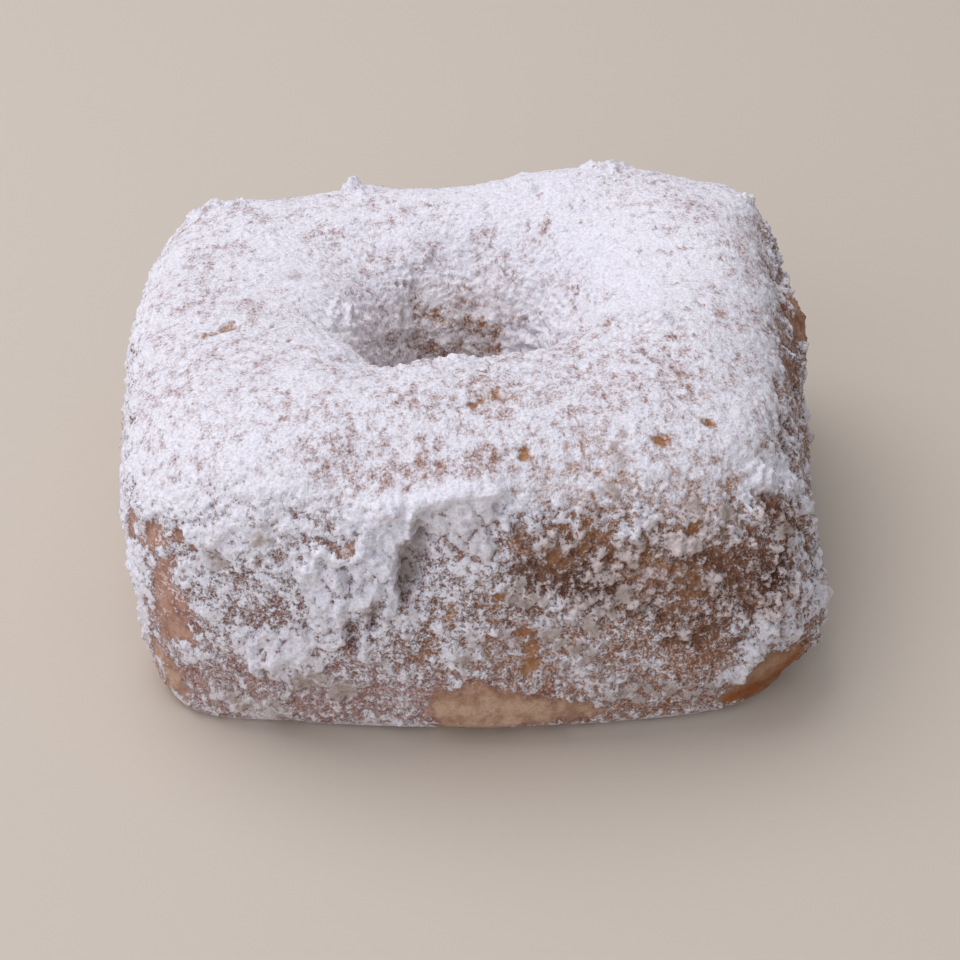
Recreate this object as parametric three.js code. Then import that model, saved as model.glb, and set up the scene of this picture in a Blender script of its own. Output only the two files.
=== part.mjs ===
// A square ring doughnut under a thick, uneven coat of powdered sugar, as one closed solid.
// Millimetres, +Z up. The origin is at the middle of the base, the front is at -Y and the right at +X.
import * as THREE from "three";
import { ParametricGeometry } from "three/addons/geometries/ParametricGeometry.js";
import { mergeVertices } from "three/addons/utils/BufferGeometryUtils.js";

// Overall form
const WIDTH = 88.4; // left to right, at the waist
const DEPTH = 83; // front to back, at the waist
const SQUARENESS = 5; // exponent of the plan: 2 is round, larger is squarer
const CORNER_PULL = 0.03; // how far the plan's corners pull out of true, as a share of its radius
const CORNER_TURN = 0.2; // where round the plan that pull starts, in radians

// The crown: its height above the base, and its place between the hole at 0 and the outside at 1
const CROWN = { right: 40, back: 36.6, left: 35.3, front: 39.3 };
const CROWN_TWIST = 0.9; // how far it is twisted up at the back right and the front left
const CROWN_SHARE = { right: 0.46, back: 0.58, left: 0.46, front: 0.28 };

// The wall outside, which flares out low on the right and high on the left
const WAIST = { right: 5, back: 12, left: 21, front: 9.7 }; // height of the widest line
const SHOULDER = { right: 2.55, back: 3.2, left: 3.1, front: 3 }; // exponents of the wall from waist to crown
const FOOT = 2.6; // exponent of the wall from the base to the waist
const FOOT_INSET = { right: 5.5, back: 5.5, left: 5.5, front: 5 }; // from the waist in to the base's edge
const EAR = 3.4; // how far the foot of the front left corner reaches out again

// The hole, drawn to the left and to the corners at the back right and the front left
const HOLE_RADIUS = { right: 9, back: 11.5, left: 13, front: 11.4 }; // at its narrowest
const HOLE_SKEW = 0.7;
const THROAT = 16; // height of the narrowest line
const HOLE_FOOT = 3; // how far the hole opens again at the base
const RIM = { right: 2.3, back: 1.8, left: 3.2, front: 4 }; // exponents of the slope from crown to hole

// The coat's relief
const SWELL = 0.5; // height of the broad unevenness of the dough
const SWELL_SPAN = 21; // length of one swell
const CRAG = 0.7; // height of the crags in the caked sugar, on the walls
const CRAG_SPAN = 6.5; // length of one crag
const FINE_CRAG = 0.45; // height of the finer crags between them
const FINE_CRAG_SPAN = 4;
const TOP_CRAG_SHARE = 0.35; // the share of the crags' height on the top, where the sugar lies smoother
const QUIET_FOOT = 4; // the relief fades out over this height, so that the base stays flat

// Faces of the mesh round the ring, and along each stretch of its section
const AROUND = 126;
const STRETCHES = { foot: 8, shoulder: 15, funnel: 12, throat: 6, base: 3 };

const TURN = 2 * Math.PI;
const FRONT_LEFT_CORNER = 0.63 * TURN;

// Caked lumps and hollows that stand out in the coat: where each is, how far it reaches along X, Y and Z,
// and how far it rises, or sinks where that is negative. Each fades out a little past its reach.
const LUMP_EDGE = 1.4;
const LUMPS = [
  { name: "curled flake on the front", at: [-4, -41, 34], reach: [10, 6, 4], rise: 1.5 },
  { name: "left end of the flake", at: [-13, -41, 31], reach: [6, 6, 5], rise: 1.2 },
  { name: "hollow under the flake", at: [-6, -41, 26], reach: [4, 5, 6], rise: -1.2 },
  { name: "plate right of the hollow", at: [2, -41, 29], reach: [5, 5, 8], rise: 0.8 },
  { name: "lumps low on the left of the front", at: [-16, -42, 20], reach: [9, 6, 8], rise: 1 },
  { name: "bare bulge at the foot of the front", at: [5, -42, 6], reach: [12, 7, 5], rise: 0.8 },
  { name: "ridge across the front right corner", at: [34, -37, 15], reach: [8, 8, 6], rise: 1.2 },
  { name: "lumps low on the right side", at: [43, -26, 9], reach: [6, 9, 7], rise: 2.2 },
  { name: "blister on the right side", at: [44, 8, 26], reach: [4, 6, 6], rise: 1 },
  { name: "crest at the back right", at: [13, 36, 38], reach: [14, 8, 6], rise: 1.3 },
  { name: "tuft at the back left", at: [-15, 37, 34], reach: [3, 4, 4], rise: 0.8 },
  { name: "peak of the back right corner", at: [38, 29, 36], reach: [7, 8, 6], rise: 1.4 },
  { name: "peak of the back left corner", at: [-37, 34, 31], reach: [7, 8, 6], rise: 0.9 },
  { name: "swelling of the left side", at: [-43, -8, 28], reach: [6, 20, 8], rise: 0.8 },
  { name: "dip in the rim of the hole", at: [-10, -15, 37], reach: [6, 6, 5], rise: -1.6 },
  { name: "funnel to the right of the hole", at: [19, 5, 38], reach: [13, 9, 9], rise: -1.6 },
  { name: "fold down the back of the hole", at: [-7, 13, 24], reach: [3, 5, 9], rise: -1.1 },
];

const mix = (a, b, t) => a + (b - a) * t;
const ease = (t) => t * t * (3 - 2 * t);
const clamped = (t) => Math.min(1, Math.max(0, t));

// 1 where angle is centre, falling to 0 at reach from it on either side.
function lobe(angle, centre, reach) {
  const apart = Math.abs(Math.atan2(Math.sin(angle - centre), Math.cos(angle - centre)));
  return apart < reach ? 0.5 + 0.5 * Math.cos((Math.PI * apart) / reach) : 0;
}

// A repeatable number from 0 to 1 for a lattice point.
function latticeValue(i, j, k) {
  const wave = Math.sin(i * 127.1 + j * 311.7 + k * 74.7) * 43758.5453;
  return wave - Math.floor(wave);
}

// Smooth noise from -1 to 1 with features about one unit across.
function noise(x, y, z) {
  const [i, j, k] = [Math.floor(x), Math.floor(y), Math.floor(z)];
  const [a, b, c] = [ease(x - i), ease(y - j), ease(z - k)];
  const alongX = (dj, dk) => mix(latticeValue(i, j + dj, k + dk), latticeValue(i + 1, j + dj, k + dk), a);
  const level = (dk) => mix(alongX(0, dk), alongX(1, dk), b);
  return 2 * mix(level(0), level(1), c) - 1;
}

// A size at one angle round the plan, blended from its values at the four sides.
function around({ right, back, left, front }, angle) {
  const [c, s] = [Math.cos(angle), Math.sin(angle)];
  return (c > 0 ? right : left) * c ** 2 + (s > 0 ? back : front) * s ** 2;
}

// The ring's sizes at one angle round the plan.
function formAt(angle) {
  const across = Math.abs(Math.cos(angle) / (WIDTH / 2)) ** SQUARENESS;
  const along = Math.abs(Math.sin(angle) / (DEPTH / 2)) ** SQUARENESS;
  const pull = 1 + CORNER_PULL * Math.sin(3 * angle + CORNER_TURN);
  const outline = (across + along) ** (-1 / SQUARENESS) * pull;
  const ear = EAR * lobe(angle, FRONT_LEFT_CORNER, TURN / 24);
  const twist = Math.sin(2 * angle);
  const hole = around(HOLE_RADIUS, angle) + HOLE_SKEW * twist;
  return {
    hole,
    outline,
    footRadius: outline - around(FOOT_INSET, angle) + ear,
    waist: around(WAIST, angle),
    shoulder: around(SHOULDER, angle),
    crown: around(CROWN, angle) + CROWN_TWIST * twist,
    crownRadius: mix(hole, outline, around(CROWN_SHARE, angle)),
    rim: around(RIM, angle),
  };
}

// A quarter of a superellipse from start to end, at share t of the way.
// It leaves start along the height if upright, or else along the radius.
function corner(start, end, exponent, upright, t) {
  const near = Math.cos((t * Math.PI) / 2) ** (2 / exponent);
  const far = Math.sin((t * Math.PI) / 2) ** (2 / exponent);
  const [r, z] = upright ? [1 - near, far] : [far, 1 - near];
  return [mix(start[0], end[0], r), mix(start[1], end[1], z)];
}

// The section's stretches in order, from the base's outer edge over the crown and through the hole.
function sectionStretches(form) {
  const foot = [form.footRadius, 0];
  const waist = [form.outline, form.waist];
  const crown = [form.crownRadius, form.crown];
  const throat = [form.hole, THROAT];
  const holeFoot = [form.hole + HOLE_FOOT, 0];
  return {
    foot: (t) => corner(foot, waist, FOOT, false, t),
    shoulder: (t) => corner(waist, crown, form.shoulder, true, t),
    funnel: (t) => corner(crown, throat, form.rim, false, t),
    throat: (t) => corner(throat, holeFoot, 2, true, t),
    base: (t) => [mix(holeFoot[0], foot[0], t), 0],
  };
}

const FACES_ALONG = Object.values(STRETCHES).reduce((sum, faces) => sum + faces);

// The section's point [radius, height] at share u of the way round it.
function sectionPoint(form, u) {
  const stretches = sectionStretches(form);
  let place = u * FACES_ALONG;
  for (const [name, faces] of Object.entries(STRETCHES)) {
    if (place <= faces) return stretches[name](place / faces);
    place -= faces;
  }
  return stretches.base(1);
}

// How far the sugar and the dough's unevenness stand out of the smooth form at a point. Steepness is 1 on
// an upright wall and 0 on level ground.
function reliefAt(point, steepness) {
  const swell = SWELL * noise(...point.map((p) => p / SWELL_SPAN));
  const crag = CRAG * noise(...point.map((p) => p / CRAG_SPAN));
  const fineCrag = FINE_CRAG * noise(...point.map((p) => p / FINE_CRAG_SPAN));
  const lumps = LUMPS.reduce((sum, { at, reach, rise }) => {
    const away = Math.hypot(...point.map((p, axis) => (p - at[axis]) / reach[axis]));
    return sum + rise * ease(clamped(LUMP_EDGE - away));
  }, 0);
  const crags = (crag + fineCrag) * mix(TOP_CRAG_SHARE, 1, steepness);
  return (swell + crags + lumps) * ease(clamped(point[2] / QUIET_FOOT));
}

// The coated surface: u runs round the ring and v round its section. The relief stands away from the
// middle of the section.
function surface(u, v, target) {
  const angle = TURN * (u % 1);
  const form = formAt(angle);
  const [radius, height] = sectionPoint(form, v % 1);
  const middle = new THREE.Vector2((form.hole + form.outline) / 2, form.crown / 2);
  const outward = new THREE.Vector2(radius, height).sub(middle).normalize();
  const relief = reliefAt([radius * Math.cos(angle), radius * Math.sin(angle), height], Math.abs(outward.x));
  const grown = radius + relief * outward.x;
  target.set(grown * Math.cos(angle), grown * Math.sin(angle), height + relief * outward.y);
}

// The ring as one closed mesh, with the middle of its base at the origin.
function doughnutGeometry() {
  const grid = new ParametricGeometry(surface, AROUND, FACES_ALONG);
  grid.deleteAttribute("normal");
  grid.deleteAttribute("uv");
  const closed = mergeVertices(grid, 1e-4);
  closed.computeBoundingBox();
  const { min, max } = closed.boundingBox;
  closed.translate(-(min.x + max.x) / 2, -(min.y + max.y) / 2, -min.z);
  closed.computeVertexNormals();
  return closed;
}

const sugaredCrust = new THREE.MeshStandardMaterial({ color: 0xe6dcd6, roughness: 0.9, metalness: 0 });
const doughnut = new THREE.Mesh(doughnutGeometry(), sugaredCrust);
doughnut.name = "doughnut";

const part = new THREE.Group();
part.add(doughnut);

export default part;
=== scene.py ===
import math

import bpy
import numpy as np
from mathutils import Euler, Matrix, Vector
from mathutils.bvhtree import BVHTree


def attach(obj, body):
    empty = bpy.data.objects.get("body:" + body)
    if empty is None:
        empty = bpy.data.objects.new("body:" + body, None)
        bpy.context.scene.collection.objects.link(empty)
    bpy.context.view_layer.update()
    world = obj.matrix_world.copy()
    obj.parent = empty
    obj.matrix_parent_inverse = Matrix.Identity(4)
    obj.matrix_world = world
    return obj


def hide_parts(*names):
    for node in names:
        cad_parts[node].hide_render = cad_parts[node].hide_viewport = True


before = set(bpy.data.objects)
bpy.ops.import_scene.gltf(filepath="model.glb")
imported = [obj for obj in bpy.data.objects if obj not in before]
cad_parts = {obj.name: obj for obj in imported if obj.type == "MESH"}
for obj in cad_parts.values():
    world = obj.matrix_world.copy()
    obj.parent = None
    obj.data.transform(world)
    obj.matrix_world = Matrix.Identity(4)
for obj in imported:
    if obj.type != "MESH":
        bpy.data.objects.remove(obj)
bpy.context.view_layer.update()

# Lengths are in millimetres up to the floor and the lights, and become metres in the objects.
MM = 0.001
IMAGE = 960  # pixels along each side of the picture
MIDDLE = (480, 440)  # the pixel at the middle of the doughnut
PX_PER_MM = 7.6  # at the doughnut

# Camera
AIM_HEIGHT = 20  # of a point over the middle of the base
CAMERA_AWAY = 276.5  # from that point
CAMERA_UP_DEG = 33.17  # over the level, seen from it
TILT_DEG = 1.75  # how far the camera points below it
PAN_DEG = 0.2  # how far it points to the right of it
FOCAL_PX = 2107  # focal length, in pixels of the picture
SENSOR = 36  # width

# Skin mesh
WELD = 0.01  # points nearer than this are one
VOXEL = 0.27  # width of its faces
SIDES = 4  # of each face
SMOOTHING_ROUNDS = 8
SMOOTHING = 0.5  # share of the way to the mean of its neighbours that a point moves in a round
NEEDLE_ROUNDS = 3
NEEDLE = (0.2, 0.4)  # how far a point stands out when it starts to be drawn in, and when it is in full

# The patches that the skin is cut into
BASE_HEIGHT = 1.0
BASE_FACING = -0.5  # the base's normals point down further than this
HOLE_RADIUS = 19
TOP_FACING = 0.6  # the top's normals point up further than this

# Zones of the skin. Each is a share that goes from 0 at the first value to 1 at the second.
UPRIGHT = (0.9, 0.4)  # by the normal's part along Z, up or down
HIDDEN = (0.2, -0.2)  # by the normal's part towards the camera
OUTSIDE = (17, 22)  # by the distance from the Z axis
ROUND_HOLE = (28, 16)
TO_LEFT = (-15, -30)  # by X
LEFT_EDGE = (-36, -43)
TO_MIDDLE = (-12, 8)
TO_RIGHT = (-5, 20)
FAR_RIGHT = (22, 35)
RIGHT_SIDE = (36, 43)
RIGHT_FOOT = (25, 35)
HOLE_LEFT = (8, 1)
FRONT = (-18, -28)  # by Y
LOW = (18, 4)  # by Z
OFF_BASE = (0.3, 3.0)
WARM = (-20, 10)  # by X, or WARM_X where that is less, minus half of Y
WARM_X = 8
IN_VIEW_FACING = -0.3  # outlines of the picture mark no skin that is turned further away from the camera
LIP_FRONT = -20  # the lip is in front of this Y

# Colours of the sugar and of the crust under it
SUGAR = np.array([0.89, 0.87, 0.935])
# Damp sugar, which also serves as painted shade in the recess
DAMP_SUGAR_AND_SHADE = np.array([0.47, 0.385, 0.345])
HOLE_SUGAR = np.array([0.95, 0.89, 0.905])
DUSTY_SUGAR = np.array([0.69, 0.585, 0.57])
# Sugar greyed with painted shade, for the far right side that faces away from the lamps
PAINTED_SHADE_SUGAR = np.array([0.76, 0.74, 0.79])
CRUST_PINK = np.array([0.29, 0.145, 0.115])
CRUST_ROSE = np.array([0.42, 0.215, 0.19])
CRUST_TAN = np.array([0.38, 0.16, 0.10])
CRUST_RUST = np.array([0.31, 0.085, 0.005])
CRUST_GLAZE = np.array([0.52, 0.30, 0.235])
CRUST_PALE = np.array([0.57, 0.385, 0.275])
CRUST_GOLD = np.array([0.37, 0.165, 0.065])
CRUST_AMBER = np.array([0.41, 0.195, 0.085])
CRUST_BROWN = np.array([0.105, 0.038, 0.014])
# Tints that darken them in places: blotches in the crust's own tone, painted shade in the crust's pores
# and among the sugar's grains, and the film's warm tone
BLOTCH_TINT = (0.55, 0.42, 0.36, 1)
PORE_SHADE_TINT = (0.76, 0.68, 0.64, 1)
GRAIN_SHADE_TINT = (0.80, 0.76, 0.77, 1)
FILM_TINT = (0.84, 0.66, 0.55, 1)

# Floor and light, in metres and watts
FLOOR_REACH = 3.0
FLOOR_COLOUR = (0.62, 0.54, 0.46, 1)
FLOOR_ROUGHNESS = 0.7
KEY = {"place": (-0.28, 0.17, 0.69), "size": 0.7, "power": 3.1, "colour": (1.0, 0.985, 1.0)}
FILL = {"place": (-0.52, -0.66, 0.42), "size": 0.9, "power": 2.85, "colour": (0.90, 0.93, 1.0)}
SKY_COLOUR = (0.91, 0.94, 1.0, 1)
SKY_STRENGTH = 0.47

# Strokes over the picture: a line of pixels, its half width in millimetres and an amount.
# Drifts, where the sugar lies thicker than elsewhere
THICK = [
    ([(285, 255), (305, 300), (340, 345)], 4, 0.3),
    ([(598, 235), (620, 270), (640, 300)], 6, 0.5),
    ([(480, 197), (560, 190)], 6, 0.3),
    ([(190, 440), (220, 462), (290, 478)], 5, 0.25),
    ([(380, 514), (420, 508), (445, 503), (495, 497)], 1.0, 0.9),
    ([(742, 674), (752, 655), (768, 625), (790, 606)], 2.2, 0.55),
    ([(790, 640), (806, 620), (816, 600)], 2.2, 0.4),
    ([(800, 545), (815, 570)], 2.0, 0.3),
    ([(375, 528), (405, 524), (400, 542), (370, 546)], 2.2, 0.7),
    ([(560, 445), (600, 465), (680, 450), (740, 470)], 4, 0.12),
    ([(808, 590), (822, 594)], 2, 0.5),
    ([(640, 690), (700, 680)], 2.5, 0.25),
    ([(628, 538), (645, 520)], 1.4, 0.6),
    ([(762, 478), (795, 484)], 2, 0.6),
    ([(745, 505), (765, 515)], 1.8, 0.4),
    ([(132, 550), (150, 640), (176, 700)], 1.0, 0.5),
    ([(402, 305), (408, 315)], 1.2, 0.4),
    ([(205, 530), (240, 540)], 2.0, 0.4),
    ([(220, 695), (250, 705)], 1.5, 0.5),
    ([(595, 665), (640, 660)], 3, 0.3),
    ([(450, 655), (456, 662)], 1.0, 0.7),
    ([(690, 547), (697, 540)], 1.1, 0.7),
    ([(664, 543), (676, 547)], 0.8, 0.6),
    ([(594, 560), (598, 578)], 1.0, 0.6),
    ([(566, 612), (588, 604)], 2.0, 0.45),
    ([(742, 632), (756, 624)], 1.8, 0.6),
    ([(540, 548), (550, 542)], 1.4, 0.5),
    ([(738, 612)], 1.5, 0.5),
    ([(655, 598)], 0.9, 0.6),
    ([(708, 584), (714, 578)], 0.9, 0.5),
    ([(530, 300), (556, 325)], 2.5, 0.35),
    ([(510, 336), (540, 330)], 2.0, 0.4),
    ([(444, 331), (452, 331)], 0.9, 0.5),
    ([(510, 522), (560, 516)], 2.5, 0.2),
]
# Where it lies thinly
THIN = [
    ([(550, 562), (590, 572), (650, 572)], 5.0, 0.36),
    ([(690, 575), (755, 580)], 5.0, 0.27),
    ([(570, 485), (640, 495), (725, 495)], 4.5, 0.34),
    ([(765, 510), (785, 515)], 1.8, 0.6),
    ([(426, 352), (434, 348), (453, 350)], 1.3, 0.75),
    ([(433, 316), (458, 325), (496, 329)], 1.2, 0.65),
    ([(500, 320), (520, 321)], 1.0, 0.35),
    ([(368, 300), (392, 340)], 2.5, 0.25),
    ([(417, 300), (420, 316)], 1.0, 0.6),
    ([(422, 330), (426, 341)], 0.8, 0.5),
    ([(486, 349), (508, 347)], 0.8, 0.4),
    ([(386, 352), (400, 354)], 1.0, 0.35),
    ([(360, 240), (400, 245), (440, 260)], 4, 0.15),
    ([(440, 610), (500, 640), (560, 620)], 6, 0.2),
    ([(190, 690), (230, 668), (260, 680), (300, 700)], 2.5, 0.45),
    ([(370, 655), (430, 650), (430, 690)], 3, 0.4),
    ([(365, 690), (425, 692)], 2.2, 0.45),
    ([(240, 580), (265, 600), (250, 625)], 4, 0.12),
    ([(420, 430), (540, 430), (600, 400)], 8, 0.12),
    ([(610, 640), (660, 650), (720, 640)], 6, 0.4),
    ([(340, 470), (460, 475)], 4, 0.3),
    ([(440, 625), (500, 600)], 2.5, 0.2),
    ([(778, 388), (780, 402)], 1.0, 0.4),
    ([(790, 370), (797, 385)], 1.2, 0.4),
]
# Damp, caked sugar gone grey and half clear
DAMP = [
    ([(296, 275)], 1.6, 0.6),
    ([(617, 442)], 2.0, 0.8),
    ([(617, 487)], 2.0, 0.7),
    ([(575, 640)], 4.0, 0.9),
    ([(520, 596)], 1.8, 0.9),
    ([(622, 606)], 2.2, 0.9),
    ([(632, 550)], 1.6, 0.8),
    ([(728, 515)], 1.8, 1.0),
    ([(692, 510)], 1.4, 0.8),
    ([(785, 528)], 2.0, 0.8),
    ([(270, 545)], 2.5, 0.8),
    ([(215, 560)], 3.0, 0.5),
    ([(372, 608)], 1.6, 0.8),
    ([(240, 700), (290, 712)], 2.5, 0.6),
    ([(310, 680), (340, 690)], 2.5, 0.8),
    ([(470, 655)], 2.5, 0.6),
    ([(620, 692), (700, 692)], 3.0, 0.7),
    ([(402, 305), (408, 345)], 1.5, 0.4),
    ([(765, 668), (785, 662)], 1.2, 0.9),
]
# Browner crust
BROWN = [
    ([(550, 564), (590, 572), (660, 572), (765, 574)], 5.5, 1.0),
    ([(430, 350), (508, 348)], 2.0, 0.35),
    ([(415, 305), (440, 320)], 2.0, 0.4),
    ([(700, 620), (760, 600)], 5, 0.9),
    ([(765, 510), (785, 515)], 2.5, 0.9),
    ([(440, 620), (560, 610)], 5, 0.5),
    ([(318, 542), (346, 552)], 1.6, 0.45),
]
# Amber crust
AMBER = [
    ([(645, 565), (690, 585)], 2.5, 0.8),
    ([(660, 438)], 2, 0.9),
    ([(523, 452)], 2, 0.9),
    ([(478, 404), (496, 397)], 2, 0.9),
    ([(204, 336), (228, 328)], 2.4, 0.75),
    ([(700, 420), (715, 426)], 2, 0.7),
    ([(529, 632), (530, 662)], 2, 0.8),
    ([(732, 698), (760, 688), (782, 674), (796, 658)], 1.5, 0.7),
    ([(664, 698)], 0.9, 1.0),
    ([(790, 305), (797, 322), (801, 340)], 1.5, 0.7),
    ([(437, 628), (448, 612)], 1.5, 0.9),
    ([(498, 597)], 1.5, 0.9),
    ([(520, 540)], 1.5, 0.9),
    ([(430, 348), (500, 345)], 2.5, 0.9),
    ([(432, 318), (510, 322)], 2.5, 0.8),
    ([(580, 550)], 1.2, 0.7),
    ([(440, 640), (540, 660)], 4.0, 0.5),
    ([(565, 465), (640, 490), (725, 495)], 4.5, 0.6),
    ([(585, 530), (620, 530)], 1.8, 0.8),
    ([(682, 505), (698, 530)], 1.6, 0.8),
    ([(612, 552), (632, 550)], 1.4, 0.7),
    ([(552, 562), (566, 558)], 1.2, 0.7),
]
# Deep orange crust, at the foot and in the hole
RUST = [
    ([(734, 698), (766, 686)], 1.2, 1.0),
    ([(772, 680), (799, 656)], 1.5, 0.9),
    ([(664, 699)], 0.8, 1.0),
    ([(430, 350), (453, 350)], 1.5, 0.55),
    ([(436, 317), (462, 328), (494, 330)], 1.5, 0.45),
]
# Small bare spots with no sugar
BARE_SPOTS = [
    ([(204, 336), (228, 328)], 1.2, 0.5),
    ([(474, 405), (482, 402)], 0.8, 0.9),
    ([(496, 397)], 0.8, 0.55),
    ([(483, 412), (490, 417)], 0.7, 0.65),
    ([(523, 450), (524, 456)], 0.8, 0.6),
    ([(708, 424)], 0.9, 0.5),
    ([(529, 632), (530, 662)], 1.2, 0.55),
    ([(437, 628), (448, 612)], 0.6, 0.5),
    ([(498, 597)], 0.5, 0.6),
    ([(520, 540)], 0.5, 0.6),
    ([(575, 552), (586, 547)], 0.5, 0.5),
    ([(193, 549)], 0.6, 0.5),
    ([(322, 544), (346, 552)], 1.3, 0.48),
    ([(602, 533), (620, 529)], 1.0, 0.5),
    ([(684, 522), (690, 532)], 0.9, 0.5),
]
# Knobs, ridges and tufts of sugar: a line of pixels, its half width and its height in millimetres.
# Where the height is negative, it is a dip.
KNOBS = [
    ([(743, 673), (752, 655), (768, 628), (774, 608)], 1.2, 0.75),
    ([(808, 590), (820, 594)], 1.6, 0.35),
    ([(411, 517), (413, 530), (407, 542)], 0.9, 0.8),
    ([(380, 524), (400, 526), (400, 538), (372, 545)], 1.8, 0.5),
    ([(762, 478), (795, 484)], 1.6, 0.5),
    ([(752, 505), (762, 515)], 1.2, 0.6),
    ([(800, 505), (808, 525)], 1.2, 0.7),
    ([(790, 362), (797, 366)], 1.0, 0.6),
    ([(400, 266), (411, 280)], 0.8, 0.8),
    ([(430, 250), (425, 262)], 0.6, 0.5),
    ([(352, 614), (358, 600)], 0.8, 0.7),
    ([(365, 605), (384, 612)], 1.0, 0.6),
    ([(296, 676), (303, 700)], 0.5, 0.6),
    ([(483, 540), (489, 556)], 0.7, 0.4),
    ([(640, 525), (628, 538)], 1.2, 0.4),
    ([(564, 338), (590, 326), (625, 318), (660, 318)], 1.6, 0.5),
    ([(775, 235), (790, 270), (800, 310)], 2.0, 0.7),
    ([(440, 358), (482, 356)], 2.5, -1.0),
    ([(388, 367), (403, 366)], 2.0, -1.0),
    ([(344, 312), (352, 335), (368, 358)], 1.8, 0.8),
    ([(355, 185)], 0.7, 1.5),
    ([(347, 191), (355, 187), (365, 191)], 1.0, 0.8),
    ([(594, 162), (603, 160), (618, 162)], 1.6, 0.7),
    ([(190, 213), (215, 205), (240, 204)], 1.0, 0.6),
    ([(532, 190)], 0.7, 0.7),
    ([(746, 198), (752, 199)], 0.8, 1.0),
    ([(824, 604)], 0.9, 0.3),
    ([(181, 710)], 0.8, 0.6),
]
# Smooth bulges of the crust: a line of pixels, its half width and its height in millimetres
BULGES = [
    ([(797, 310), (803, 330), (804, 346)], 2.2, 1.1),
]
# Crevices: a line of pixels, its half width and its depth in millimetres
CREVICES = [
    ([(344, 570), (347, 584)], 0.5, 1.3),
    ([(352, 625), (353, 648)], 0.8, 1.6),
    ([(377, 611), (373, 628)], 0.6, 1.2),
    ([(363, 562), (363, 572)], 0.4, 0.6),
    ([(375, 554), (388, 556)], 0.4, 0.5),
    ([(327, 612), (332, 622), (331, 632)], 0.4, 0.6),
    ([(302, 622), (308, 634)], 0.4, 0.5),
    ([(466, 514), (467, 523)], 0.3, 0.4),
    ([(471, 526), (480, 536), (479, 550)], 0.3, 0.45),
    ([(490, 531), (497, 540)], 0.35, 0.5),
    ([(498, 507), (503, 512)], 0.6, 1.0),
    ([(740, 643)], 0.7, 1.1),
    ([(770, 327), (780, 338), (788, 349), (797, 358)], 0.6, 1.0),
    ([(783, 440), (790, 458)], 0.9, 1.4),
    ([(772, 414), (775, 424)], 0.4, 0.6),
    ([(784, 422), (797, 432)], 1.2, 1.35),
    ([(792, 470), (797, 478)], 0.9, 1.3),
    ([(778, 385), (782, 402)], 0.8, 1.15),
    ([(789, 378), (796, 390)], 0.8, 0.9),
    ([(783, 556), (790, 572)], 0.7, 1.1),
    ([(796, 500), (802, 530)], 0.9, 1.3),
    ([(806, 540), (812, 565)], 0.9, 1.2),
    ([(765, 497), (780, 494)], 0.5, 0.7),
    ([(398, 284), (412, 284)], 0.4, 0.7),
    ([(521, 527), (526, 545)], 0.6, 0.7),
    ([(597, 597), (602, 612)], 0.5, 0.6),
    ([(655, 600), (660, 618)], 0.5, 0.7),
]

# Outlines over the picture, corner by corner
# The lip of caked sugar that has come away on the front, from left to right along its edge
LIP = [
    (380, 513), (400, 511), (412, 515), (421, 507), (440, 507), (455, 499), (470, 496), (487, 495),
    (502, 498),
]
# The cracked plates under it
PLATES = [
    (424, 513), (440, 510), (458, 502), (480, 499), (498, 500), (503, 516), (498, 540), (494, 562),
    (478, 568), (456, 566), (444, 550), (434, 535), (428, 522),
]
# The hollow behind its left end, whose coat is darkened with painted shade
RECESS = [
    (416, 519), (424, 526), (433, 540), (426, 546), (424, 558), (419, 577), (412, 592), (405, 603),
    (400, 590), (401, 568), (403, 550), (411, 543), (414, 533),
]
# Masses of caked lumps
CLUMPS = [
    [
        (303, 556), (318, 548), (340, 556), (346, 568), (356, 560), (372, 560), (398, 556), (400, 580),
        (398, 600), (380, 598), (362, 600), (352, 612), (344, 622), (322, 620), (308, 605), (300, 580),
    ],
    [
        (248, 640), (262, 628), (285, 632), (302, 640), (306, 660), (298, 676), (290, 690), (268, 690),
        (252, 672),
    ],
]
# Bare crust, each outline with the roughness of its edge
BARE = [
    ([
        (432, 700), (440, 690), (456, 697), (466, 686), (478, 682), (490, 688), (498, 694), (520, 697),
        (548, 701), (582, 706), (602, 711), (592, 717), (560, 722), (520, 727), (480, 731), (452, 733),
        (440, 726), (430, 714),
    ], 0.6),
    ([(130, 512), (138, 510), (140, 524), (137, 536), (131, 532)], 1.0),
    ([
        (142, 527), (152, 520), (160, 524), (163, 535), (180, 533), (181, 539), (165, 543), (158, 551),
        (148, 549), (142, 540),
    ], 1.2),
    ([
        (152, 578), (160, 566), (167, 560), (172, 572), (178, 590), (184, 606), (190, 640), (178, 641),
        (166, 636), (158, 628), (154, 605),
    ], 1.2),
    ([
        (148, 640), (158, 638), (166, 655), (174, 676), (181, 694), (172, 690), (162, 668), (152, 652),
    ], 1.1),
    ([
        (721, 701), (733, 687), (745, 675), (758, 665), (774, 657), (792, 648), (803, 647), (800, 665),
        (782, 681), (762, 693), (742, 700),
    ], 0.7),
    ([(651, 436), (658, 430), (669, 434), (668, 444), (657, 446)], 0.5),
    ([(788, 302), (794, 308), (800, 322), (806, 338), (804, 350), (797, 334), (791, 315)], 0.8),
]


def smoothstep(low, high, x):
    t = np.clip((x - low) / (high - low), 0, 1)
    return t * t * (3 - 2 * t)


def zone(values, limits):
    """A share for each value, from 0 at the first of two limits to 1 at the second."""
    return smoothstep(*limits, values).astype(np.float32)


def blended(a, b, share):
    """Each row of a moved towards b by a share."""
    return a + (b - a) * share[:, None]


# Camera

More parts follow.
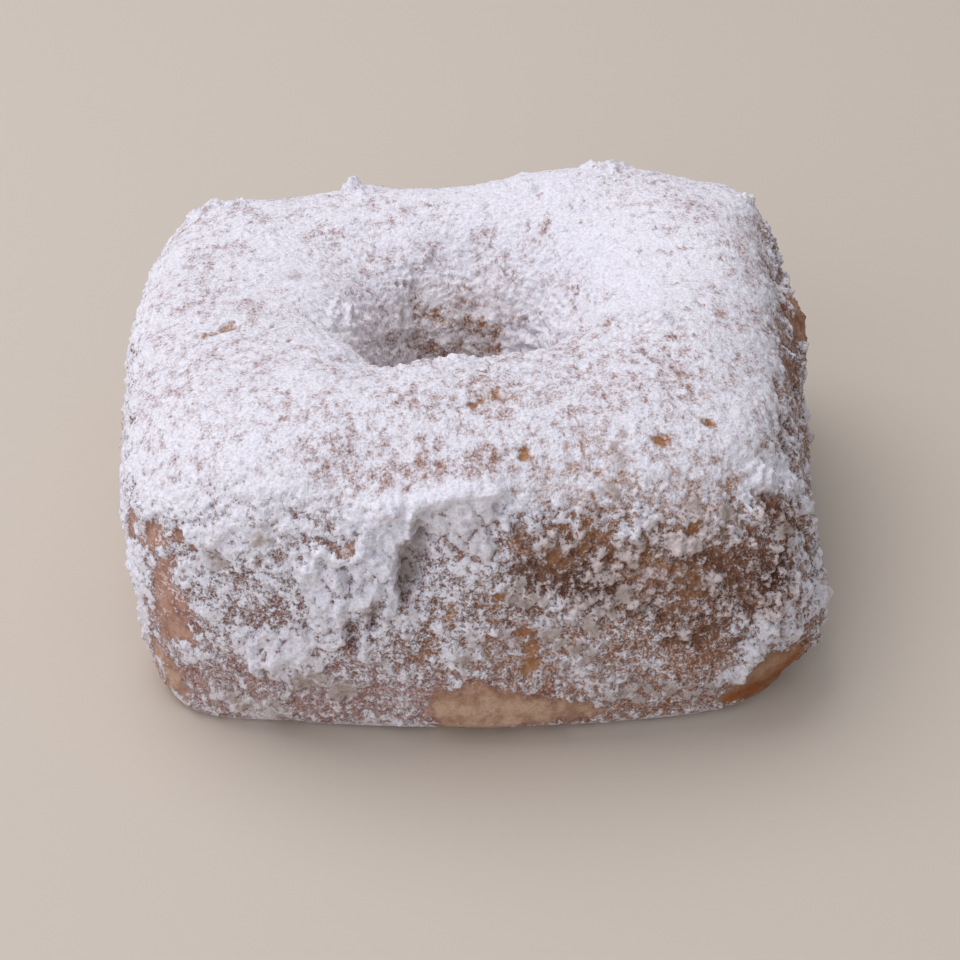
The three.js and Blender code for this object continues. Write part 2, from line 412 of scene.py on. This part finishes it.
def add_camera():
    up = math.radians(CAMERA_UP_DEG)
    data = bpy.data.cameras.new("camera")
    data.sensor_width = SENSOR
    data.lens = FOCAL_PX / IMAGE * SENSOR
    camera = bpy.data.objects.new("camera", data)
    height = AIM_HEIGHT + CAMERA_AWAY * math.sin(up)
    camera.location = (0, -CAMERA_AWAY * math.cos(up) * MM, height * MM)
    from_straight_down = math.radians(90 - CAMERA_UP_DEG - TILT_DEG)
    camera.rotation_euler = Euler((from_straight_down, 0, -math.radians(PAN_DEG)))
    bpy.context.scene.collection.objects.link(camera)
    bpy.context.scene.camera = camera
    return camera


camera = add_camera()
CAMERA_AT = camera.location / MM
CAMERA_TURN = camera.rotation_euler.to_matrix()


# Noise

DIRECTION_COUNT = 256
RNG = np.random.default_rng(20)
DIRECTIONS = RNG.normal(size=(DIRECTION_COUNT, 3)).astype(np.float32)
DIRECTIONS /= np.linalg.norm(DIRECTIONS, axis=1, keepdims=True)
# The noise's lattice is turned out of line with the walls, so that no rows show on them
LATTICE_TURN = np.array(Euler((0.6, 0.5, 0.4)).to_matrix(), np.float32)
LATTICE_STEP = 7.37  # how far it is moved from one seed to the next, in cells
NOISE_GAIN = np.float32(1.6)  # brings the noise to about -1 to 1
# Odd numbers that mix a lattice cell's place, and the shifts that fold the result
MIX_X, MIX_Y, MIX_Z, MIX_SEED = 374761393, 668265263, 2246822519, 3266489917
FOLDS = (np.uint32(15), np.uint32(13), np.uint32(16))
BITS_32 = 0xFFFFFFFF


def lattice_hash(cell, seed):
    """A whole number from 0 to 2**32 - 1 for each lattice cell."""
    h = cell[:, 0] * np.uint32(MIX_X) + cell[:, 1] * np.uint32(MIX_Y) + cell[:, 2] * np.uint32(MIX_Z)
    h = h + np.uint32(seed * MIX_SEED & BITS_32)
    h = (h ^ (h >> FOLDS[0])) * np.uint32(MIX_Z)
    h = (h ^ (h >> FOLDS[1])) * np.uint32(MIX_SEED)
    return h ^ (h >> FOLDS[2])


def noise(points, span, seed):
    """Gradient noise, about -1 to 1, with features about span across."""
    p = points @ LATTICE_TURN / np.float32(span) + np.float32(seed * LATTICE_STEP)
    floor = np.floor(p)
    f = (p - floor).astype(np.float32)
    cell = floor.astype(np.int64).astype(np.uint32)
    eased = f * f * f * (f * (f * 6 - 15) + 10)
    total = np.zeros(len(p), np.float32)
    for corner in np.ndindex(2, 2, 2):
        key = lattice_hash(cell + np.array(corner, np.uint32), seed)
        slope = DIRECTIONS[key & np.uint32(DIRECTION_COUNT - 1)]
        away = f - np.array(corner, np.float32)
        share = np.prod(np.where(np.array(corner) == 1, eased, 1 - eased), axis=1)
        total += share * np.einsum("ij,ij->i", slope, away)
    return total * NOISE_GAIN


def layered(points, span, seed, layers, gain=0.5):
    """Several layers of noise, each half the span of the one before."""
    total = np.zeros(len(points), np.float32)
    for k in range(layers):
        total += gain**k * noise(points, span / 2**k, seed + k)
    return total


def puffs(points, span, seed, layers, gain=0.5):
    """Rounded lumps with creases between them, from 0 in a crease to about 1."""
    total = np.zeros(len(points), np.float32)
    for k in range(layers):
        total += gain**k * np.abs(noise(points, span / 2**k, seed + k))
    return total


def cell_walls(points, span, seed):
    """How far each point is from a wall between irregular cells about span across.

    It is 0 at a wall and about 1 inside a cell.
    """
    p = points / np.float32(span)
    floor = np.floor(p)
    first = np.full(len(p), np.inf, np.float32)
    second = np.full(len(p), np.inf, np.float32)
    ten_bits = np.uint32(1023)
    for corner in np.ndindex(3, 3, 3):
        cell = floor + np.array(corner, np.float32) - 1
        key = lattice_hash(cell.astype(np.int64).astype(np.uint32), seed)
        spot = np.stack([(key >> np.uint32(shift)) & ten_bits for shift in (0, 10, 20)], 1)
        away = np.linalg.norm(cell + spot / np.float32(ten_bits) - p, axis=1)
        second = np.minimum(second, np.maximum(first, away))
        first = np.minimum(first, away)
    return second - first


# Skin

def fine_mesh(node):
    """The node's shape as an even, smooth net of small quads: its points and its faces."""
    work = bpy.data.objects.new("skin_work", node.data.copy())
    bpy.context.scene.collection.objects.link(work)
    weld = work.modifiers.new("weld", "WELD")
    weld.merge_threshold = WELD * MM
    rounder = work.modifiers.new("rounder", "SUBSURF")
    rounder.levels = 1
    rounder.render_levels = 1
    remesh = work.modifiers.new("remesh", "REMESH")
    remesh.mode = "VOXEL"
    remesh.voxel_size = VOXEL * MM
    remesh.adaptivity = 0
    shape = work.evaluated_get(bpy.context.evaluated_depsgraph_get()).to_mesh()
    points = np.empty(len(shape.vertices) * 3, np.float32)
    shape.vertices.foreach_get("co", points)
    corners = np.empty(len(shape.loops), np.int32)
    shape.loops.foreach_get("vertex_index", corners)
    bpy.data.objects.remove(work)
    return points.reshape(-1, 3).astype(np.float64) / MM, corners.reshape(-1, SIDES)


def edges_of(faces):
    pairs = np.concatenate([faces[:, [k, (k + 1) % SIDES]] for k in range(SIDES)])
    return np.unique(np.sort(pairs, axis=1), axis=0)


def averaged(values, edges):
    """Each point's mean over its neighbours."""
    count = len(values)
    a, b = edges.T
    total = np.empty_like(values)
    for k in range(values.shape[1]):
        total[:, k] = np.bincount(a, values[b, k], count) + np.bincount(b, values[a, k], count)
    return total / np.bincount(edges.ravel(), minlength=count)[:, None]


def normals_of(points, faces):
    a, b, c, d = (points[faces[:, k]] for k in range(SIDES))
    cross = np.cross(c - a, d - b)
    total = np.zeros_like(points)
    for k in range(SIDES):
        for axis in range(3):
            total[:, axis] += np.bincount(faces[:, k], cross[:, axis], len(points))
    return total / np.linalg.norm(total, axis=1, keepdims=True)


points, faces = fine_mesh(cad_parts["doughnut"])
edges = edges_of(faces)
for _ in range(SMOOTHING_ROUNDS):
    points += SMOOTHING * (averaged(points, edges) - points)
normals = normals_of(points, faces)
tree = BVHTree.FromPolygons([Vector(p) for p in points], [tuple(f) for f in faces.tolist()])


# Marks seen in the picture

def seen_at(u, v, most=24, step=2):
    """The point of the skin that the picture shows at a pixel, or up to most pixels inside it."""
    for inward in range(0, most, step):
        share = inward / math.hypot(u - MIDDLE[0], v - MIDDLE[1])
        x, y = u + (MIDDLE[0] - u) * share, v + (MIDDLE[1] - v) * share
        ray = CAMERA_TURN @ Vector(((x - IMAGE / 2) / FOCAL_PX, (IMAGE / 2 - y) / FOCAL_PX, -1))
        hit = tree.ray_cast(CAMERA_AT, ray.normalized())[0]
        if hit is not None:
            return np.array(hit)
    raise ValueError(f"nothing is seen at {u}, {v}")


def line_seen(pixels, step=6):
    """Points of the skin along a line of pixels."""
    places = []
    for (u0, v0), (u1, v1) in zip(pixels, pixels[1:] + pixels[-1:]):
        count = max(1, int(math.hypot(u1 - u0, v1 - v0) / step))
        for k in range(count):
            places.append(seen_at(u0 + (u1 - u0) * k / count, v0 + (v1 - v0) * k / count))
    return np.array(places)


def near(pixels, reach):
    """1 on a line of pixels, falling away over the skin to a half at reach."""
    places = line_seen(pixels)
    field = np.zeros(len(points), np.float32)
    middle = places.mean(0)
    limit = np.linalg.norm(places - middle, axis=1).max() + 3 * reach
    close = np.nonzero(np.linalg.norm(points - middle, axis=1) < limit)[0]
    best = np.full(len(close), np.inf)
    for place in places:
        best = np.minimum(best, ((points[close] - place) ** 2).sum(1))
    field[close] = np.exp(-0.7 * best / reach**2)
    return field


def marked(marks):
    """The most that any of some strokes gives each point."""
    total = np.zeros(len(points), np.float32)
    for pixels, reach, amount in marks:
        total = np.maximum(total, amount * near(pixels, reach))
    return total


def pixels_of(points):
    """Where the picture shows each point, whether it is hidden there or not."""
    local = (points - np.array(CAMERA_AT)) @ np.array(CAMERA_TURN)
    u = IMAGE / 2 - FOCAL_PX * local[:, 0] / local[:, 2]
    v = IMAGE / 2 + FOCAL_PX * local[:, 1] / local[:, 2]
    return np.stack([u, v], 1)


PIXELS = pixels_of(points)
TO_CAMERA = np.array(CAMERA_AT) - points
FACING = (normals * TO_CAMERA).sum(1) / np.linalg.norm(TO_CAMERA, axis=1)
IN_VIEW = FACING > IN_VIEW_FACING


def inside(outline, margin=40):
    """How far inside an outline of pixels each point in view lies, negative where outside."""
    ends = np.array(outline, float)
    close = IN_VIEW & np.all((PIXELS > ends.min(0) - margin) & (PIXELS < ends.max(0) + margin), axis=1)
    spots = PIXELS[close]
    best = np.full(len(spots), np.inf)
    within = np.zeros(len(spots), bool)
    for a, b in zip(ends, np.roll(ends, -1, 0)):
        side, away = b - a, spots - a
        share = np.clip(away @ side / (side @ side), 0, 1)
        best = np.minimum(best, np.linalg.norm(away - share[:, None] * side, axis=1))
        rising = (spots[:, 1] - a[1]) / (side[1] or 1e-9)
        within ^= (rising >= 0) & (rising < 1) & (away[:, 0] < rising * side[0])
    depth = np.full(len(points), -margin / PX_PER_MM)
    depth[close] = np.where(within, best, -best) / PX_PER_MM
    return depth.astype(np.float32)


def below(line, ends=10):
    """How far below a line of pixels each point lies, and 1 where it is under or over the line."""
    us, vs = np.array(line, float).T
    u, v = PIXELS.T
    drop = (v - np.interp(u, us, vs)) / PX_PER_MM
    over = smoothstep(us[0] - ends, us[0] + ends, u) * smoothstep(us[-1] + ends, us[-1] - ends, u)
    return drop.astype(np.float32), (over * IN_VIEW * (points[:, 1] < LIP_FRONT)).astype(np.float32)


# Zones of the skin
x, y, z = points.T
from_axis = np.hypot(x, y)
upright = zone(np.abs(normals[:, 2]), UPRIGHT)
outside = zone(from_axis, OUTSIDE)
wall = upright * outside
hole = upright * (1 - outside)
round_hole = zone(from_axis, ROUND_HOLE) * (1 - hole)
hidden = zone(FACING, HIDDEN)
off_base = zone(z, OFF_BASE)
low = zone(z, LOW)
front = zone(y, FRONT)
to_left = zone(x, TO_LEFT)
to_middle = zone(x, TO_MIDDLE)
to_right = zone(x, TO_RIGHT)
far_right = zone(x, FAR_RIGHT) * wall
right = zone(x, RIGHT_SIDE) * wall
warm = zone(np.minimum(x, WARM_X) - y / 2, WARM)

# Unevenness of several sizes
P = points.astype(np.float32)  # the points as the noise takes them
broad = layered(P, span=14, seed=1, layers=2)
patchy = layered(P, span=5, seed=5, layers=3)
ragged = layered(P, span=2.2, seed=9, layers=3)
fray = layered(P, span=1.2, seed=13, layers=2)
flakes = layered(P, span=2.6, seed=41, layers=3, gain=0.7)
veil = smoothstep(0.0, 0.5, layered(P, span=2.4, seed=17, layers=3, gain=0.7))
cakes = smoothstep(0.10, 0.20, layered(P, span=6, seed=57, layers=3))
bent = P + 0.45 * np.stack([layered(P, span=1.5, seed=91 + k, layers=2) for k in range(3)], 1)
cracks = cell_walls(bent, span=3.4, seed=81)
# Lumps, each less about its mean
soft = puffs(P, span=1.9, seed=21, layers=2) - 0.42
crumb = puffs(P, span=1.3, seed=61, layers=2) - 0.42
granules = puffs(bent, span=1.6, seed=71, layers=2) - 0.42
lumps = puffs(P, span=3.4, seed=31, layers=4, gain=0.55) - 0.5
knolls = puffs(P, span=2.4, seed=35, layers=3, gain=0.6) - 0.55


def broken(field, coarse, fine):
    """A field from 0 to 1 with its edges broken up."""
    return field + smoothstep(0.02, 0.25, field) * (coarse * ragged + fine * fray)


def chance(span, seed, start, full):
    """Patches only where the picture does not show the skin: 0 where the noise is start, 1 at full."""
    return hidden * smoothstep(start, full, noise(P, span, seed))


# The marks of the picture, and others like them where it does not show the skin
thick = marked(THICK) + 0.5 * chance(9, 52, 0.1, 0.5)
thin = marked(THIN) + 0.5 * chance(11, 53, 0.1, 0.5) + 0.3 * (1 - hidden) * right + 0.15 * wall * low
brown = np.maximum(marked(BROWN), 0.5 * right * (1 - 0.6 * hidden))
brown = np.maximum(brown, chance(16, 54, 0.05, 0.5))
rust = marked(RUST)
amber = np.maximum(marked(AMBER), chance(7, 55, 0.4, 0.6))
bare = smoothstep(0.25, 0.75, marked(BARE_SPOTS) + 0.40 * ragged + 0.15 * patchy)
for outline, rough in BARE:
    depth = inside(outline) + rough * (ragged + 0.7 * fray)
    bare = np.maximum(bare, smoothstep(-0.3 - rough, 0.3 + rough, depth))
bare = np.maximum(bare, hidden * low * smoothstep(0.3, 0.42, noise(P, 10, 56) + 0.2 * ragged))
damp = np.maximum(marked(DAMP), chance(6, 57, 0.3, 0.5))
damp = smoothstep(0.2, 0.8, damp + 0.3 * ragged) * smoothstep(0.02, 0.22, cracks)
plates = smoothstep(-0.8, 0.8, inside(PLATES) + 0.7 * ragged + 0.3 * fray)
recess = smoothstep(-1.2, 1.3, inside(RECESS) + 0.9 * ragged + 0.5 * fray)
clumps = np.zeros(len(points), np.float32)
for outline in CLUMPS:
    clumps = np.maximum(clumps, smoothstep(-0.8, 0.8, inside(outline) + 0.6 * ragged))
# Brown places where the sugar has drawn together into granules
comb = smoothstep(0.3, 0.8, brown + 0.4 * patchy * smoothstep(0.05, 0.3, brown))

# Raised and sunken shapes
shapes = np.zeros(len(points), np.float32)
for pixels, reach, rise in KNOBS:
    knob = smoothstep(0.3, 0.75, broken(near(pixels, reach), 0.25, 0.35))
    shapes += rise * knob * (0.92 + crumb)
pits = np.zeros(len(points), np.float32)
for pixels, reach, depth in CREVICES:
    pits = np.maximum(pits, depth * smoothstep(0.3, 0.7, broken(near(pixels, reach), 0.15, 0.2)))
drop, over = below(LIP)
drop = drop + 0.2 * ragged + 0.15 * fray
lip = over * np.where(drop < 0, np.exp(-(drop / 2.2) ** 2), smoothstep(0.9, 0.2, drop))
shapes += 0.7 * lip - 2.8 * recess
shapes += plates * (0.25 - 0.5 * smoothstep(0.28, 0.06, cracks) + 0.4 * noise(P, 3.0, 83))

# The sugar's thickness: none at 0 or less, and a full coat at about 1
sugar = 0.88 - 0.10 * wall + 0.12 * broad + (0.30 - 0.10 * wall) * patchy + thick - thin
sugar -= (0.05 * warm + 0.15 * to_left) * (1 - wall) + 0.04 * wall * to_right
sugar += wall * ((0.09 - 0.04 * low) * (1 - to_right) - 0.03 * to_middle)
sugar += 0.15 * wall * (1 - low) * zone(x, LEFT_EDGE)
# It follows the lumps
sugar += wall * (0.24 * flakes + 0.25 * crumb + 0.38 * knolls + 0.12 * (cakes - 0.4)) + 0.2 * soft
sugar += hole * (0.5 * crumb + 0.35 * flakes) + right * (1.2 * lumps - 0.05) + 0.9 * comb * granules
# It is thicker on the shapes that stand out, and thinner in cracks and crevices; the darker crust that
# shows there is partly thinner sugar and partly painted shade
sugar += 0.45 * clumps + 0.8 * lip + 0.5 * plates + 0.1 * recess + 0.15 * np.clip(shapes, 0, 1)
sugar -= (0.35 + 0.3 * right) * np.clip(pits, 0, 1) * (1 - plates)
sugar -= 0.65 * clumps * smoothstep(-0.2, -0.42, knolls) + 0.8 * plates * smoothstep(0.16, 0.03, cracks)
sugar = np.clip(np.maximum(sugar, 1.2 * damp), -0.2, 1.8) - 1.5 * bare

# The thin film of powder on the crust between the lumps
film = 0.40 + 0.05 * wall - 0.14 * warm * (1 - wall) + 0.2 * (np.clip(sugar, 0, 1) - 0.7) + 0.15 * patchy
film -= (0.33 - 0.25 * cakes) * comb + 0.15 * wall * (1 - 0.6 * low * (1 - to_middle))
film += 0.18 * right * low + wall * (0.1 * hidden - 0.08 * low)
film += 0.14 * wall * to_middle * (1 - 0.5 * right) - 0.08 * far_right + 0.05 * wall * to_left
film = film * (1 - bare) + bare * ((0.5 - 0.38 * low) * veil - 0.22 - 0.35 * low)
# How far the film is warm in colour, and how grainy it is
cloud = 0.85 * np.maximum(wall, front * smoothstep(0.97, 0.7, normals[:, 2])) * (0.25 + 0.75 * to_middle)
grit = 2.4 + 0.8 * wall - 1.2 * low * wall * (1 - to_right)

# How far the skin stands out of the solid
caked = np.maximum(clumps, smoothstep(0.15, 0.75, thick + 0.3 * wall - 0.8 * thin + 0.35 * patchy))
caked = caked * (1 - bare)
relief = (0.16 + 0.25 * np.clip(thick, 0, 1)) * soft + 0.06 * patchy
relief += hole * (0.4 * crumb + 0.8 * lumps) + 0.12 * (1 - wall) * crumb
relief += round_hole * (0.25 * crumb + 0.35 * lumps)
relief += (wall * (0.45 + 0.4 * comb) * (1 - 0.35 * right) + 0.8 * clumps) * knolls
relief += wall * (0.28 * (1 - 0.5 * right) * crumb + 0.25 * cakes)
relief += 0.22 * wall * (smoothstep(0.3, 1.1, sugar) - 0.5) + 0.7 * comb * granules
relief += caked * (0.1 + 1.1 * lumps) * (0.5 + 0.5 * np.maximum(wall, clumps))
relief += right * (0.4 + 0.5 * low) * lumps + 0.4 * clumps * lumps
relief = relief * (1 - 0.85 * plates) + shapes + 0.12 * fray * lip
relief = relief * (1 - 0.9 * bare) - 0.25 * bare - pits
for pixels, reach, rise in BULGES:
    relief += rise * near(pixels, reach)
relief = relief * off_base
shaped = points + normals * relief[:, None]
# Points that stand out like needles are drawn in
for _ in range(NEEDLE_ROUNDS):
    level = averaged(shaped, edges)
    shaped = blended(shaped, level, smoothstep(*NEEDLE, np.linalg.norm(shaped - level, axis=1)))
shaped_normals = normals_of(shaped, faces)

# The crust's colour, from one kind to the next
top_crust = blended(np.tile(CRUST_ROSE, (len(points), 1)), CRUST_TAN, warm)
crust = np.tile(CRUST_PINK, (len(points), 1))
for kind, share in (
    (CRUST_GOLD, 0.6 * to_right + 0.3 * broad),
    (top_crust, 0.9 * (1 - upright)),
    (CRUST_ROSE, 0.6 * low * wall * (1 - to_right)),
    (CRUST_BROWN, brown * (0.85 + 0.5 * patchy + 0.3 * broad)),
    (CRUST_GLAZE, bare * (1 - to_right)),
    (CRUST_PALE, bare * low * (1 - 0.5 * zone(x, RIGHT_FOOT))),
    (CRUST_AMBER, amber + 0.25 * ragged * amber),
    (CRUST_RUST, rust + 0.3 * ragged * rust),
):
    crust = blended(crust, kind, np.clip(share, 0, 1))
# The sugar's colour, with painted shade on the far right side and in the recess
coat = np.tile(SUGAR, (len(points), 1))
for kind, share in (
    (DUSTY_SUGAR, comb + 0.5 * wall * low),
    # painted shade: the far right side of the wall greyed
    (PAINTED_SHADE_SUGAR, 0.8 * far_right * (1 - comb)),
    (HOLE_SUGAR, hole * zone(x, HOLE_LEFT)),
    # damp sugar on damp spots and the plates, and painted shade in the recess
    (DAMP_SUGAR_AND_SHADE, damp + 0.25 * plates + 0.8 * recess),
):
    coat = blended(coat, kind, np.clip(share, 0, 1))

# What the material reads at each point
NUMBERS = {"sugar": sugar, "film": film, "grit": grit, "cloud": cloud, "bare": bare, "wall": wall}
COLOURS = {"crust": crust, "coat": coat}


# Materials

class Nodes:
    """Short calls that add shader nodes to a material and link them."""

    def __init__(self, material):
        material.use_nodes = True
        self.tree = material.node_tree
        self.tree.nodes.clear()

    def add(self, kind, inputs=None, **settings):
        node = self.tree.nodes.new(kind)
        for name, value in settings.items():
            setattr(node, name, value)
        for name, value in (inputs or {}).items():
            self.feed(node.inputs[name], value)
        return node

    def feed(self, socket, value):
        if isinstance(value, bpy.types.NodeSocket):
            self.tree.links.new(value, socket)
        else:
            socket.default_value = value

    def attribute(self, name, output="Fac"):
        return self.add("ShaderNodeAttribute", attribute_name=name).outputs[output]

    def grain(self, span, detail, roughness, drawn_out=1.0):
        """Noise of about 0 to 1 with features span across, drawn out along Y, fixed to the object."""
        where = self.add("ShaderNodeTexCoord").outputs["Object"]
        stretch = {"Vector": where, "Scale": (1, 1 / drawn_out, 1)}
        where = self.add("ShaderNodeMapping", stretch).outputs[0]
        sizes = {"Vector": where, "Scale": 1 / (span * MM), "Detail": detail, "Roughness": roughness}
        return self.add("ShaderNodeTexNoise", sizes).outputs["Fac"]

    def math(self, operation, a, b=0.0, c=0.0):
        node = self.add("ShaderNodeMath", operation=operation)
        for socket, value in zip(node.inputs, (a, b, c)):
            self.feed(socket, value)
        return node.outputs[0]

    def between(self, value, low, high, to_low=0.0, to_high=1.0):
        """A smooth step from to_low, where value is low, to to_high, where it is high."""
        limits = {"Value": value, "From Min": low, "From Max": high, "To Min": to_low, "To Max": to_high}
        return self.add("ShaderNodeMapRange", limits, interpolation_type="SMOOTHSTEP").outputs["Result"]

    def mean(self, share, a, b):
        """A number a where share is 0 and b where it is 1."""
        return self.add("ShaderNodeMix", {"Factor": share, 2: a, 3: b}).outputs[0]

    def blend(self, share, a, b):
        """A colour a where share is 0 and b where it is 1."""
        return self.add("ShaderNodeMix", {"Factor": share, 6: a, 7: b}, data_type="RGBA").outputs[2]

    def tinted(self, share, colour, tint):
        """A colour multiplied by a tint where share is 1."""
        inputs = {"Factor": share, 6: colour, 7: tint}
        return self.add("ShaderNodeMix", inputs, data_type="RGBA", blend_type="MULTIPLY").outputs[2]

    def surface(self, colour, rough, height, depth, specular):
        bump = self.add("ShaderNodeBump", {"Height": height, "Strength": 1.0, "Distance": depth * MM})
        shader = self.add("ShaderNodeBsdfPrincipled", {"Base Color": colour, "Roughness": rough})
        shader.inputs["Specular IOR Level"].default_value = specular
        self.tree.links.new(bump.outputs["Normal"], shader.inputs["Normal"])
        out = self.add("ShaderNodeOutputMaterial")
        self.tree.links.new(shader.outputs[0], out.inputs["Surface"])


def sugared_crust():
    """Crust with blotches, a thin film of powder over it, and sugar in lumps over both."""
    material = bpy.data.materials.new("sugared_crust")
    n = Nodes(material)
    sugar, film, grit, cloud, bare, wall = (n.attribute(name) for name in NUMBERS)
    crust, coat = (n.attribute(name, "Color") for name in COLOURS)
    top_grain = n.grain(span=1.3, detail=4.0, roughness=0.82, drawn_out=1.4)
    wall_grain = n.grain(span=1.0, detail=4.0, roughness=0.86)
    grain = n.mean(wall, top_grain, wall_grain)
    powder = n.grain(span=0.35, detail=2.0, roughness=0.7)
    matt = n.grain(span=0.7, detail=3.0, roughness=0.5)
    blotch = n.grain(span=1.8, detail=3.0, roughness=0.6)
    # Where lumps lie, and where powder does
    laid = n.math("MULTIPLY_ADD", n.math("SUBTRACT", grain, 0.5), 5.0, sugar)
    lumped = n.between(laid, n.mean(wall, -0.3, 0.28), n.mean(wall, 1.1, 0.75))
    filmed = n.math("MULTIPLY_ADD", n.math("SUBTRACT", powder, 0.5), grit, film)
    filmed = n.between(filmed, 0.0, 1.0)
    cover = n.math("MAXIMUM", lumped, filmed)
    # Colour, with painted shade in the crust's pores and among the sugar's grains
    toned = n.tinted(n.between(blotch, 0.35, 0.7, 0.0, 0.75), crust, BLOTCH_TINT)
    # painted shade in the pores, where the film of powder leaves the crust bare
    toned = n.tinted(n.between(powder, 0.32, 0.55, 0.7, 0.0), toned, PORE_SHADE_TINT)
    # painted shade: fine grey specks among the sugar's grains, in place of a finer bump
    shaded = n.tinted(n.between(powder, 0.36, 0.6, 0.8, 0.0), coat, GRAIN_SHADE_TINT)
    clouded = n.tinted(cloud, shaded, FILM_TINT)
    colour = n.blend(lumped, n.blend(filmed, toned, clouded), shaded)
    # Smoother where it is bare
    rough = n.between(cover, 0.0, 0.6, 0.42, 0.95)
    height = n.math("MULTIPLY_ADD", matt, 1.5, n.math("MULTIPLY", lumped, 0.35))
    height = n.math("MULTIPLY", height, n.math("SUBTRACT", 1.0, n.math("MULTIPLY", bare, 0.85)))
    n.surface(colour, rough, height, depth=0.25, specular=0.3)
    return material


CRUST = sugared_crust()


# Pieces

def quad_mesh(name, points, corners):
    """A smooth mesh of quads, from its points and the numbers of each quad's points in turn."""
    count = corners.size // SIDES
    mesh = bpy.data.meshes.new(name)
    mesh.vertices.add(len(points))
    mesh.vertices.foreach_set("co", (points * MM).astype(np.float32).ravel())
    mesh.loops.add(corners.size)
    mesh.loops.foreach_set("vertex_index", corners.ravel().astype(np.int32))
    mesh.polygons.add(count)
    mesh.polygons.foreach_set("loop_start", np.arange(0, corners.size, SIDES, dtype=np.int32))
    mesh.polygons.foreach_set("loop_total", np.full(count, SIDES, np.int32))
    mesh.update(calc_edges=True)
    mesh.polygons.foreach_set("use_smooth", np.ones(count, bool))
    return mesh


def add_patch(name, chosen):
    """One stretch of the skin as an object, with the whole skin's normals, so that no seam shows."""
    used, corners = np.unique(faces[chosen], return_inverse=True)
    mesh = quad_mesh(name, shaped[used], corners)
    mesh.materials.append(CRUST)
    for field, values in NUMBERS.items():
        attribute = mesh.attributes.new(field, "FLOAT", "POINT")
        attribute.data.foreach_set("value", values[used].astype(np.float32))
    for field, values in COLOURS.items():
        shades = np.concatenate([values[used], np.ones((len(used), 1))], axis=1)
        attribute = mesh.attributes.new(field, "FLOAT_COLOR", "POINT")
        attribute.data.foreach_set("color", shades.astype(np.float32).ravel())
    mesh.normals_split_custom_set_from_vertices(shaped_normals[used].tolist())
    piece = bpy.data.objects.new(name, mesh)
    bpy.context.scene.collection.objects.link(piece)
    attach(piece, "root")
    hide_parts("doughnut")


middles = points[faces].mean(1)
facing_up = normals[faces].mean(1)[:, 2]
turned = np.degrees(np.arctan2(middles[:, 1], middles[:, 0]))
is_base = (middles[:, 2] < BASE_HEIGHT) & (facing_up < BASE_FACING)
is_hole = ~is_base & (np.hypot(middles[:, 0], middles[:, 1]) < HOLE_RADIUS)
is_top = ~is_base & ~is_hole & (facing_up > TOP_FACING)
is_wall = ~is_base & ~is_hole & ~is_top
PATCHES = {
    "crust_base": is_base,
    "crust_hole": is_hole,
    "crust_top": is_top,
    "crust_right": is_wall & (np.abs(turned) <= 45),
    "crust_back": is_wall & (turned > 45) & (turned <= 135),
    "crust_left": is_wall & (np.abs(turned) > 135),
    "crust_front": is_wall & (turned < -45) & (turned >= -135),
}
for name, chosen in PATCHES.items():
    add_patch(name, chosen)


# Floor and light

def add_floor():
    r = FLOOR_REACH
    mesh = bpy.data.meshes.new("floor")
    mesh.from_pydata([(-r, -r, 0), (r, -r, 0), (r, r, 0), (-r, r, 0)], [], [(0, 1, 2, 3)])
    material = bpy.data.materials.new("floor")
    material.use_nodes = True
    shader = material.node_tree.nodes["Principled BSDF"]
    shader.inputs["Base Color"].default_value = FLOOR_COLOUR
    shader.inputs["Roughness"].default_value = FLOOR_ROUGHNESS
    mesh.materials.append(material)
    floor = bpy.data.objects.new("floor", mesh)
    bpy.context.scene.collection.objects.link(floor)


def add_light(name, place, size, power, colour):
    data = bpy.data.lights.new(name, "AREA")
    data.shape = "DISK"
    data.size = size
    data.energy = power
    data.color = colour
    lamp = bpy.data.objects.new(name, data)
    lamp.location = place
    lamp.rotation_euler = (-Vector(place)).to_track_quat("-Z", "Y").to_euler()
    bpy.context.scene.collection.objects.link(lamp)


def add_world():
    world = bpy.data.worlds.new("studio")
    world.use_nodes = True
    sky = world.node_tree.nodes["Background"]
    sky.inputs["Color"].default_value = SKY_COLOUR
    sky.inputs["Strength"].default_value = SKY_STRENGTH
    bpy.context.scene.world = world


add_floor()
add_light("key", **KEY)
add_light("fill", **FILL)
add_world()
bpy.context.scene.view_settings.view_transform = "Standard"
